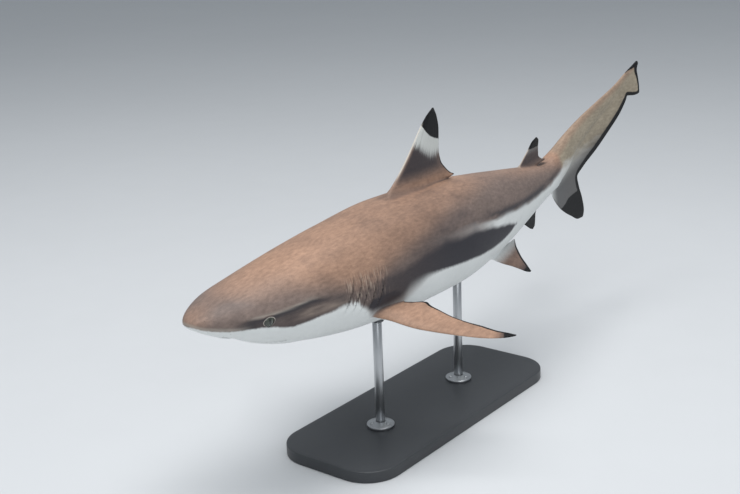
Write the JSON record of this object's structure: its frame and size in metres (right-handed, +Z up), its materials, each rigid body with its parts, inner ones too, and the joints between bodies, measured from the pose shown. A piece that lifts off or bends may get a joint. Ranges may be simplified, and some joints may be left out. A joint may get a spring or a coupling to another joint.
{
  "type": "blacktip reef shark",
  "caption": "Life-size still model of a blacktip reef shark swimming in a gentle bend, held over a flat base by short rods.",
  "frame": {"origin": "centre of the underside of the stand's base, on the floor", "axes": "+Z up; -X towards the snout; the shark's left side faces -Y"},
  "size_m": [1.3948, 0.4674, 0.544],
  "materials": {
    "skin": "tan-brown shark skin, fine satin grain",
    "belly_skin": "white shark skin, fine satin grain",
    "fin_tip": "black shark skin, fine satin grain",
    "eye": "wet, greenish grey with a dark slit pupil",
    "base": "dark grey satin paint on aluminium",
    "steel": "brushed stainless steel"
  },
  "bodies": {
    "root": {"head": "skin", "lower_jaw": "belly_skin", "trunk_front": "skin", "trunk_rear": "skin", "tail_stalk": "skin", "caudal_fin_upper_lobe": "skin", "caudal_fin_lower_lobe": "fin_tip", "first_dorsal_fin": "skin", "second_dorsal_fin": "skin", "anal_fin": "fin_tip", "pectoral_fin_left": "skin", "pectoral_fin_right": "skin", "pelvic_fin_left": "skin", "pelvic_fin_right": "skin", "eye_left": "eye", "eye_right": "eye", "stand_base": "base", "stand_rod_front": "steel", "stand_collar_front": "steel", "stand_saddle_front": "steel", "stand_rod_rear": "steel", "stand_collar_rear": "steel", "stand_saddle_rear": "steel"}
  },
  "joints": []
}
